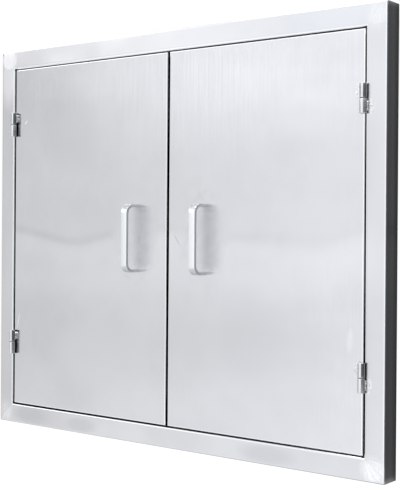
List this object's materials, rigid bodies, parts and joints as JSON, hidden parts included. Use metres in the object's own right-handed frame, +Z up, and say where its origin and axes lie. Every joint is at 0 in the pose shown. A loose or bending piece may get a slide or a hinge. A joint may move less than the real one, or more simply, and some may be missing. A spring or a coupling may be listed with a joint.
{
  "type": "double access door",
  "caption": "Double access door for an outdoor kitchen island: mitred stainless frame with sleeve, two inset doors on weld-on barrel hinges, and flat C-shaped pulls.",
  "frame": {"origin": "middle of the frame in width and height, in the plane where the back edge of the outer return meets the island's face", "axes": "+X to the right seen from the front, +Y into the island, +Z up; the doors face -Y"},
  "size_m": [0.7112, 0.1045, 0.6096],
  "materials": {
    "frame_steel": "brushed stainless sheet, mitres ground and polished",
    "door_steel": "brushed stainless sheet, upright grain",
    "liner_steel": "plain mill finish",
    "sleeve_steel": "plain mill finish",
    "stop_steel": "plain mill finish",
    "handle_steel": "polished on the faces, drawn edges",
    "hinge_steel": "turned and polished stainless bar",
    "weld_steel": "weld bead as laid, wire brushed",
    "plated_steel": "bright zinc plate",
    "catch_plastic": "moulded, fine matt",
    "ferrite": "pressed and ground ferrite",
    "washer_plastic": "turned acetal",
    "bumper_silicone": "cast, frosted and clear"
  },
  "bodies": {
    "frame": {"bottom_stop": "stop_steel", "catch_bracket": "stop_steel", "catch_screws": "plated_steel", "corner_gussets": "sleeve_steel", "door_bumpers": "bumper_silicone", "frame_bottom_rail": "frame_steel", "frame_hinge_welds": "weld_steel", "frame_left_stile": "frame_steel", "frame_right_stile": "frame_steel", "frame_top_rail": "frame_steel", "hinge_washers": "washer_plastic", "left_catch_housing": "catch_plastic", "left_catch_magnet": "ferrite", "left_catch_poles": "plated_steel", "left_lower_frame_knuckle": "hinge_steel", "left_lower_hinge_pin": "hinge_steel", "left_upper_frame_knuckle": "hinge_steel", "left_upper_hinge_pin": "hinge_steel", "right_catch_housing": "catch_plastic", "right_catch_magnet": "ferrite", "right_catch_poles": "plated_steel", "right_lower_frame_knuckle": "hinge_steel", "right_lower_hinge_pin": "hinge_steel", "right_upper_frame_knuckle": "hinge_steel", "right_upper_hinge_pin": "hinge_steel", "sleeve_bottom": "sleeve_steel", "sleeve_left": "sleeve_steel", "sleeve_right": "sleeve_steel", "sleeve_top": "sleeve_steel", "top_stop": "stop_steel"},
    "left_door": {"left_door_handle": "handle_steel", "left_door_hinge_welds": "weld_steel", "left_door_liner": "liner_steel", "left_door_skin": "door_steel", "left_door_stiffener": "liner_steel", "left_handle_welds": "weld_steel", "left_lower_door_knuckle": "hinge_steel", "left_strike_plate": "plated_steel", "left_upper_door_knuckle": "hinge_steel"},
    "right_door": {"right_door_handle": "handle_steel", "right_door_hinge_welds": "weld_steel", "right_door_liner": "liner_steel", "right_door_skin": "door_steel", "right_door_stiffener": "liner_steel", "right_handle_welds": "weld_steel", "right_lower_door_knuckle": "hinge_steel", "right_strike_plate": "plated_steel", "right_upper_door_knuckle": "hinge_steel"}
  },
  "joints": [
    {"name": "left_door_swing", "type": "hinge", "parent": "frame", "child": "left_door", "pos_m": [-0.3234, -0.03465, 0], "axis": [0, 0, -1], "range_deg": [0, 180]},
    {"name": "right_door_swing", "type": "hinge", "parent": "frame", "child": "right_door", "pos_m": [0.3234, -0.03465, 0], "axis": [0, 0, 1], "range_deg": [0, 180]}
  ]
}
